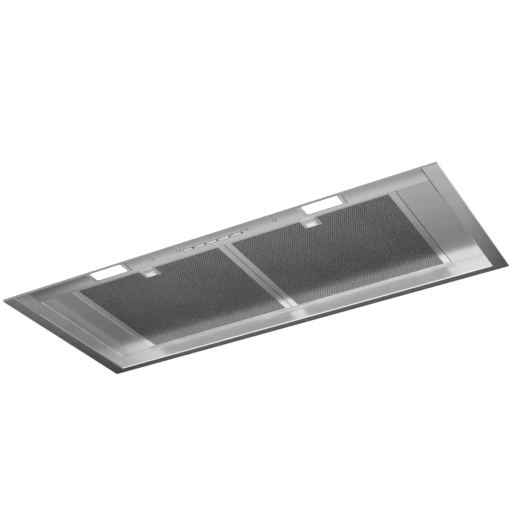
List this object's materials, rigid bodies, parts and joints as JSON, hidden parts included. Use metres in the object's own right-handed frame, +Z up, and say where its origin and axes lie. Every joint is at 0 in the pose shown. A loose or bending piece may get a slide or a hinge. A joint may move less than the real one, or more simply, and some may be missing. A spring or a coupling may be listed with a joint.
{
  "type": "range hood insert",
  "caption": "Built-in range hood insert with swing-down perforated grease filters, push keys, lamps, a centrifugal blower and a top duct collar with a butterfly damper.",
  "frame": {"origin": "middle of the flange's underside", "axes": "+X to the right as seen from the front, -Y to the front with the keys, +Z up towards the duct"},
  "size_m": [0.86, 0.38, 0.142],
  "materials": {
    "brushed_sheet": "fine brushed",
    "zinc_sheet": "matt zinc coated",
    "perforated_sheet": "satin",
    "filter_mesh": "satin",
    "bright_metal": "polished",
    "spring_wire": "satin",
    "black_plastic": "matt",
    "fan_plastic": "satin",
    "white_plastic": "satin",
    "opal_lens": "opal",
    "circuit_board": "satin",
    "motor_paint": "satin",
    "grey_rubber": "matt"
  },
  "bodies": {
    "hood": {"canopy_frame": "brushed_sheet", "ceiling_panel": "brushed_sheet", "control_fascia": "brushed_sheet", "plenum_cover": "zinc_sheet", "centre_rail": "zinc_sheet", "fascia_screws": "bright_metal", "key_housing": "black_plastic", "key_board": "circuit_board", "key_switches": "white_plastic", "key_spring_1": "spring_wire", "key_spring_2": "spring_wire", "key_spring_3": "spring_wire", "key_spring_4": "spring_wire", "key_spring_5": "spring_wire", "lamp_bezel_left": "brushed_sheet", "lamp_bezel_right": "brushed_sheet", "lamp_lens_left": "opal_lens", "lamp_lens_right": "opal_lens", "led_board_left": "circuit_board", "led_board_right": "circuit_board", "lamp_driver": "white_plastic", "inlet_ring": "black_plastic", "blower_casing": "zinc_sheet", "blower_lid": "zinc_sheet", "blower_screws": "bright_metal", "motor_body": "motor_paint", "motor_grommets": "grey_rubber", "duct_collar": "black_plastic", "damper_pin": "bright_metal", "mains_box": "black_plastic", "mains_box_lid": "black_plastic", "terminal_block": "white_plastic", "cable_gland": "black_plastic", "capacitor": "white_plastic", "capacitor_clip": "zinc_sheet"},
    "key_1": {"key_1": "bright_metal"},
    "key_2": {"key_2": "bright_metal"},
    "key_3": {"key_3": "bright_metal"},
    "key_4": {"key_4": "bright_metal"},
    "key_5": {"key_5": "bright_metal"},
    "filter_left": {"filter_frame_left": "brushed_sheet", "filter_face_left": "perforated_sheet", "filter_core_left": "filter_mesh", "latch_plate_left": "brushed_sheet", "latch_spring_left": "spring_wire"},
    "latch_left": {"latch_slide_left": "bright_metal"},
    "filter_right": {"filter_frame_right": "brushed_sheet", "filter_face_right": "perforated_sheet", "filter_core_right": "filter_mesh", "latch_plate_right": "brushed_sheet", "latch_spring_right": "spring_wire"},
    "latch_right": {"latch_slide_right": "bright_metal"},
    "fan": {"impeller": "fan_plastic", "motor_shaft": "bright_metal"},
    "flap_left": {"damper_flap_left": "zinc_sheet"},
    "flap_right": {"damper_flap_right": "zinc_sheet"}
  },
  "joints": [
    {"name": "key_1_press", "type": "slide", "parent": "hood", "child": "key_1", "axis": [0, 0, 1], "range_m": [0, 0.002], "stiffness_N_per_m": 400, "springref_m": -0.001, "deforming": ["key_spring_1"]},
    {"name": "key_2_press", "type": "slide", "parent": "hood", "child": "key_2", "axis": [0, 0, 1], "range_m": [0, 0.002], "stiffness_N_per_m": 400, "springref_m": -0.001, "deforming": ["key_spring_2"]},
    {"name": "key_3_press", "type": "slide", "parent": "hood", "child": "key_3", "axis": [0, 0, 1], "range_m": [0, 0.002], "stiffness_N_per_m": 400, "springref_m": -0.001, "deforming": ["key_spring_3"]},
    {"name": "key_4_press", "type": "slide", "parent": "hood", "child": "key_4", "axis": [0, 0, 1], "range_m": [0, 0.002], "stiffness_N_per_m": 400, "springref_m": -0.001, "deforming": ["key_spring_4"]},
    {"name": "key_5_press", "type": "slide", "parent": "hood", "child": "key_5", "axis": [0, 0, 1], "range_m": [0, 0.002], "stiffness_N_per_m": 400, "springref_m": -0.001, "deforming": ["key_spring_5"]},
    {"name": "filter_left_hinge", "type": "hinge", "parent": "hood", "child": "filter_left", "pos_m": [-0.1652, 0.168, 0.0291], "axis": [1, 0, 0], "range_deg": [0, 45]},
    {"name": "latch_left_slide", "type": "slide", "parent": "filter_left", "child": "latch_left", "axis": [0, 1, 0], "range_m": [0, 0.0035], "stiffness_N_per_m": 600, "springref_m": -0.001, "deforming": ["latch_spring_left"]},
    {"name": "filter_right_hinge", "type": "hinge", "parent": "hood", "child": "filter_right", "pos_m": [0.1652, 0.168, 0.0291], "axis": [1, 0, 0], "range_deg": [0, 45]},
    {"name": "latch_right_slide", "type": "slide", "parent": "filter_right", "child": "latch_right", "axis": [0, 1, 0], "range_m": [0, 0.0035], "stiffness_N_per_m": 600, "springref_m": -0.001, "deforming": ["latch_spring_right"]},
    {"name": "fan_spin", "type": "hinge", "parent": "hood", "child": "fan", "pos_m": [-0.07, 0.0615, 0.085], "axis": [0, 0, 1], "continuous": true},
    {"name": "flap_left_swing", "type": "hinge", "parent": "hood", "child": "flap_left", "pos_m": [0.1025, 0.0855, 0.1261], "axis": [0, 1, 0], "range_deg": [0, 75]},
    {"name": "flap_right_swing", "type": "hinge", "parent": "hood", "child": "flap_right", "pos_m": [0.1025, 0.0855, 0.1261], "axis": [0, -1, 0], "range_deg": [0, 75]}
  ]
}
